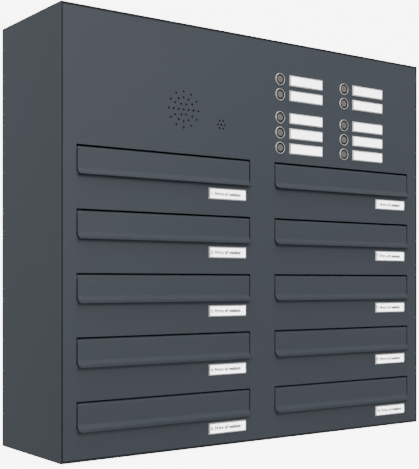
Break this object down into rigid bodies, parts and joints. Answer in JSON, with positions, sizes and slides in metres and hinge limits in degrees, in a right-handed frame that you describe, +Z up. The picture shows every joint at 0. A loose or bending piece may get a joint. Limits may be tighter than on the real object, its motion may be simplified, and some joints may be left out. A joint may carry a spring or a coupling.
{
  "type": "cluster mailbox unit",
  "caption": "Flush-front letterbox bank with lift-up letter flaps, lockable rear doors, name plates, bell buttons and a speech field.",
  "frame": {"origin": "middle of the casing's underside, at the centre of the four base bolts", "axes": "+X to the right seen from the front, +Y from the front panel towards the rear doors, +Z up"},
  "size_m": [0.874, 0.2498, 0.782],
  "materials": {
    "powder_coat_casing": "fine-textured powder coat, anthracite grey",
    "powder_coat_front": "satin powder coat, anthracite grey, faint horizontal brushing",
    "seal_rubber": "matt black EPDM",
    "galvanised_sheet": "satin zinc-plated sheet",
    "zinc_steel": "bright zinc plate",
    "stainless": "satin stainless steel",
    "chrome": "nickel-plated die casting",
    "black_plastic": "matt black plastic",
    "button_metal": "satin warm-grey metal",
    "frame_silver": "silver-grey satin plastic",
    "paper": "white card with a printed name",
    "clear_window": "clear acrylic",
    "speaker_black": "black cone and basket",
    "grey_plastic": "light grey housing",
    "grommet_rubber": "matt black rubber"
  },
  "bodies": {
    "cabinet": {"casing": "powder_coat_casing", "front_panel": "powder_coat_front", "front_seal": "seal_rubber", "centre_divider": "galvanised_sheet", "compartment_shelves": "galvanised_sheet", "service_cover": "powder_coat_casing", "cable_grommet": "grommet_rubber", "hinge_rods": "zinc_steel", "flap_hinge_brackets": "zinc_steel", "flap_bumpers": "grommet_rubber", "bell_bezels": "stainless", "bell_contacts": "black_plastic", "bell_springs": "zinc_steel", "nameplate_frames": "frame_silver", "nameplate_inserts": "paper", "nameplate_windows": "clear_window", "speaker": "speaker_black", "microphone": "black_plastic", "intercom_module": "grey_plastic", "screws_and_nuts": "zinc_steel"},
    "flap_left_1": {"flap_left_1": "powder_coat_front"},
    "door_left_1": {"door_left_1": "powder_coat_casing"},
    "lock_cam_left_1": {"lock_cam_left_1": "chrome"},
    "bell_button_left_1": {"bell_button_left_1": "button_metal"},
    "flap_right_1": {"flap_right_1": "powder_coat_front"},
    "door_right_1": {"door_right_1": "powder_coat_casing"},
    "lock_cam_right_1": {"lock_cam_right_1": "chrome"},
    "bell_button_right_1": {"bell_button_right_1": "button_metal"},
    "flap_left_2": {"flap_left_2": "powder_coat_front"},
    "door_left_2": {"door_left_2": "powder_coat_casing"},
    "lock_cam_left_2": {"lock_cam_left_2": "chrome"},
    "bell_button_left_2": {"bell_button_left_2": "button_metal"},
    "flap_right_2": {"flap_right_2": "powder_coat_front"},
    "door_right_2": {"door_right_2": "powder_coat_casing"},
    "lock_cam_right_2": {"lock_cam_right_2": "chrome"},
    "bell_button_right_2": {"bell_button_right_2": "button_metal"},
    "flap_left_3": {"flap_left_3": "powder_coat_front"},
    "door_left_3": {"door_left_3": "powder_coat_casing"},
    "lock_cam_left_3": {"lock_cam_left_3": "chrome"},
    "bell_button_left_3": {"bell_button_left_3": "button_metal"},
    "flap_right_3": {"flap_right_3": "powder_coat_front"},
    "door_right_3": {"door_right_3": "powder_coat_casing"},
    "lock_cam_right_3": {"lock_cam_right_3": "chrome"},
    "bell_button_right_3": {"bell_button_right_3": "button_metal"},
    "flap_left_4": {"flap_left_4": "powder_coat_front"},
    "door_left_4": {"door_left_4": "powder_coat_casing"},
    "lock_cam_left_4": {"lock_cam_left_4": "chrome"},
    "bell_button_left_4": {"bell_button_left_4": "button_metal"},
    "flap_right_4": {"flap_right_4": "powder_coat_front"},
    "door_right_4": {"door_right_4": "powder_coat_casing"},
    "lock_cam_right_4": {"lock_cam_right_4": "chrome"},
    "bell_button_right_4": {"bell_button_right_4": "button_metal"},
    "flap_left_5": {"flap_left_5": "powder_coat_front"},
    "door_left_5": {"door_left_5": "powder_coat_casing"},
    "lock_cam_left_5": {"lock_cam_left_5": "chrome"},
    "bell_button_left_5": {"bell_button_left_5": "button_metal"},
    "flap_right_5": {"flap_right_5": "powder_coat_front"},
    "door_right_5": {"door_right_5": "powder_coat_casing"},
    "lock_cam_right_5": {"lock_cam_right_5": "chrome"},
    "bell_button_right_5": {"bell_button_right_5": "button_metal"}
  },
  "joints": [
    {"name": "flap_left_1_swing", "type": "hinge", "parent": "cabinet", "child": "flap_left_1", "pos_m": [-0.2185, -0.113, 0.536], "axis": [-1, 0, 0], "range_deg": [0, 75]},
    {"name": "door_left_1_swing", "type": "hinge", "parent": "cabinet", "child": "door_left_1", "pos_m": [-0.4255, 0.1115, 0.497], "axis": [0, 0, 1], "range_deg": [0, 100]},
    {"name": "lock_left_1_turn", "type": "hinge", "parent": "door_left_1", "child": "lock_cam_left_1", "pos_m": [-0.0235, 0.1015, 0.497], "axis": [0, -1, 0], "range_deg": [0, 90]},
    {"name": "bell_left_1_press", "type": "slide", "parent": "cabinet", "child": "bell_button_left_1", "axis": [0, 1, 0], "range_m": [0, 0.0015], "stiffness_N_per_m": 1000, "springref_m": -0.001, "deforming": ["bell_springs"]},
    {"name": "flap_right_1_swing", "type": "hinge", "parent": "cabinet", "child": "flap_right_1", "pos_m": [0.2185, -0.113, 0.536], "axis": [-1, 0, 0], "range_deg": [0, 75]},
    {"name": "door_right_1_swing", "type": "hinge", "parent": "cabinet", "child": "door_right_1", "pos_m": [0.4255, 0.1115, 0.497], "axis": [0, 0, -1], "range_deg": [0, 100]},
    {"name": "lock_right_1_turn", "type": "hinge", "parent": "door_right_1", "child": "lock_cam_right_1", "pos_m": [0.0235, 0.1015, 0.497], "axis": [0, 1, 0], "range_deg": [0, 90]},
    {"name": "bell_right_1_press", "type": "slide", "parent": "cabinet", "child": "bell_button_right_1", "axis": [0, 1, 0], "range_m": [0, 0.0015], "stiffness_N_per_m": 1000, "springref_m": -0.001, "deforming": ["bell_springs"]},
    {"name": "flap_left_2_swing", "type": "hinge", "parent": "cabinet", "child": "flap_left_2", "pos_m": [-0.2185, -0.113, 0.426], "axis": [-1, 0, 0], "range_deg": [0, 75]},
    {"name": "door_left_2_swing", "type": "hinge", "parent": "cabinet", "child": "door_left_2", "pos_m": [-0.4255, 0.1115, 0.387], "axis": [0, 0, 1], "range_deg": [0, 100]},
    {"name": "lock_left_2_turn", "type": "hinge", "parent": "door_left_2", "child": "lock_cam_left_2", "pos_m": [-0.0235, 0.1015, 0.387], "axis": [0, -1, 0], "range_deg": [0, 90]},
    {"name": "bell_left_2_press", "type": "slide", "parent": "cabinet", "child": "bell_button_left_2", "axis": [0, 1, 0], "range_m": [0, 0.0015], "stiffness_N_per_m": 1000, "springref_m": -0.001, "deforming": ["bell_springs"]},
    {"name": "flap_right_2_swing", "type": "hinge", "parent": "cabinet", "child": "flap_right_2", "pos_m": [0.2185, -0.113, 0.426], "axis": [-1, 0, 0], "range_deg": [0, 75]},
    {"name": "door_right_2_swing", "type": "hinge", "parent": "cabinet", "child": "door_right_2", "pos_m": [0.4255, 0.1115, 0.387], "axis": [0, 0, -1], "range_deg": [0, 100]},
    {"name": "lock_right_2_turn", "type": "hinge", "parent": "door_right_2", "child": "lock_cam_right_2", "pos_m": [0.0235, 0.1015, 0.387], "axis": [0, 1, 0], "range_deg": [0, 90]},
    {"name": "bell_right_2_press", "type": "slide", "parent": "cabinet", "child": "bell_button_right_2", "axis": [0, 1, 0], "range_m": [0, 0.0015], "stiffness_N_per_m": 1000, "springref_m": -0.001, "deforming": ["bell_springs"]},
    {"name": "flap_left_3_swing", "type": "hinge", "parent": "cabinet", "child": "flap_left_3", "pos_m": [-0.2185, -0.113, 0.316], "axis": [-1, 0, 0], "range_deg": [0, 75]},
    {"name": "door_left_3_swing", "type": "hinge", "parent": "cabinet", "child": "door_left_3", "pos_m": [-0.4255, 0.1115, 0.277], "axis": [0, 0, 1], "range_deg": [0, 100]},
    {"name": "lock_left_3_turn", "type": "hinge", "parent": "door_left_3", "child": "lock_cam_left_3", "pos_m": [-0.0235, 0.1015, 0.277], "axis": [0, -1, 0], "range_deg": [0, 90]},
    {"name": "bell_left_3_press", "type": "slide", "parent": "cabinet", "child": "bell_button_left_3", "axis": [0, 1, 0], "range_m": [0, 0.0015], "stiffness_N_per_m": 1000, "springref_m": -0.001, "deforming": ["bell_springs"]},
    {"name": "flap_right_3_swing", "type": "hinge", "parent": "cabinet", "child": "flap_right_3", "pos_m": [0.2185, -0.113, 0.316], "axis": [-1, 0, 0], "range_deg": [0, 75]},
    {"name": "door_right_3_swing", "type": "hinge", "parent": "cabinet", "child": "door_right_3", "pos_m": [0.4255, 0.1115, 0.277], "axis": [0, 0, -1], "range_deg": [0, 100]},
    {"name": "lock_right_3_turn", "type": "hinge", "parent": "door_right_3", "child": "lock_cam_right_3", "pos_m": [0.0235, 0.1015, 0.277], "axis": [0, 1, 0], "range_deg": [0, 90]},
    {"name": "bell_right_3_press", "type": "slide", "parent": "cabinet", "child": "bell_button_right_3", "axis": [0, 1, 0], "range_m": [0, 0.0015], "stiffness_N_per_m": 1000, "springref_m": -0.001, "deforming": ["bell_springs"]},
    {"name": "flap_left_4_swing", "type": "hinge", "parent": "cabinet", "child": "flap_left_4", "pos_m": [-0.2185, -0.113, 0.206], "axis": [-1, 0, 0], "range_deg": [0, 75]},
    {"name": "door_left_4_swing", "type": "hinge", "parent": "cabinet", "child": "door_left_4", "pos_m": [-0.4255, 0.1115, 0.167], "axis": [0, 0, 1], "range_deg": [0, 100]},
    {"name": "lock_left_4_turn", "type": "hinge", "parent": "door_left_4", "child": "lock_cam_left_4", "pos_m": [-0.0235, 0.1015, 0.167], "axis": [0, -1, 0], "range_deg": [0, 90]},
    {"name": "bell_left_4_press", "type": "slide", "parent": "cabinet", "child": "bell_button_left_4", "axis": [0, 1, 0], "range_m": [0, 0.0015], "stiffness_N_per_m": 1000, "springref_m": -0.001, "deforming": ["bell_springs"]},
    {"name": "flap_right_4_swing", "type": "hinge", "parent": "cabinet", "child": "flap_right_4", "pos_m": [0.2185, -0.113, 0.206], "axis": [-1, 0, 0], "range_deg": [0, 75]},
    {"name": "door_right_4_swing", "type": "hinge", "parent": "cabinet", "child": "door_right_4", "pos_m": [0.4255, 0.1115, 0.167], "axis": [0, 0, -1], "range_deg": [0, 100]},
    {"name": "lock_right_4_turn", "type": "hinge", "parent": "door_right_4", "child": "lock_cam_right_4", "pos_m": [0.0235, 0.1015, 0.167], "axis": [0, 1, 0], "range_deg": [0, 90]},
    {"name": "bell_right_4_press", "type": "slide", "parent": "cabinet", "child": "bell_button_right_4", "axis": [0, 1, 0], "range_m": [0, 0.0015], "stiffness_N_per_m": 1000, "springref_m": -0.001, "deforming": ["bell_springs"]},
    {"name": "flap_left_5_swing", "type": "hinge", "parent": "cabinet", "child": "flap_left_5", "pos_m": [-0.2185, -0.113, 0.096], "axis": [-1, 0, 0], "range_deg": [0, 75]},
    {"name": "door_left_5_swing", "type": "hinge", "parent": "cabinet", "child": "door_left_5", "pos_m": [-0.4255, 0.1115, 0.057], "axis": [0, 0, 1], "range_deg": [0, 100]},
    {"name": "lock_left_5_turn", "type": "hinge", "parent": "door_left_5", "child": "lock_cam_left_5", "pos_m": [-0.0235, 0.1015, 0.057], "axis": [0, -1, 0], "range_deg": [0, 90]},
    {"name": "bell_left_5_press", "type": "slide", "parent": "cabinet", "child": "bell_button_left_5", "axis": [0, 1, 0], "range_m": [0, 0.0015], "stiffness_N_per_m": 1000, "springref_m": -0.001, "deforming": ["bell_springs"]},
    {"name": "flap_right_5_swing", "type": "hinge", "parent": "cabinet", "child": "flap_right_5", "pos_m": [0.2185, -0.113, 0.096], "axis": [-1, 0, 0], "range_deg": [0, 75]},
    {"name": "door_right_5_swing", "type": "hinge", "parent": "cabinet", "child": "door_right_5", "pos_m": [0.4255, 0.1115, 0.057], "axis": [0, 0, -1], "range_deg": [0, 100]},
    {"name": "lock_right_5_turn", "type": "hinge", "parent": "door_right_5", "child": "lock_cam_right_5", "pos_m": [0.0235, 0.1015, 0.057], "axis": [0, 1, 0], "range_deg": [0, 90]},
    {"name": "bell_right_5_press", "type": "slide", "parent": "cabinet", "child": "bell_button_right_5", "axis": [0, 1, 0], "range_m": [0, 0.0015], "stiffness_N_per_m": 1000, "springref_m": -0.001, "deforming": ["bell_springs"]}
  ]
}
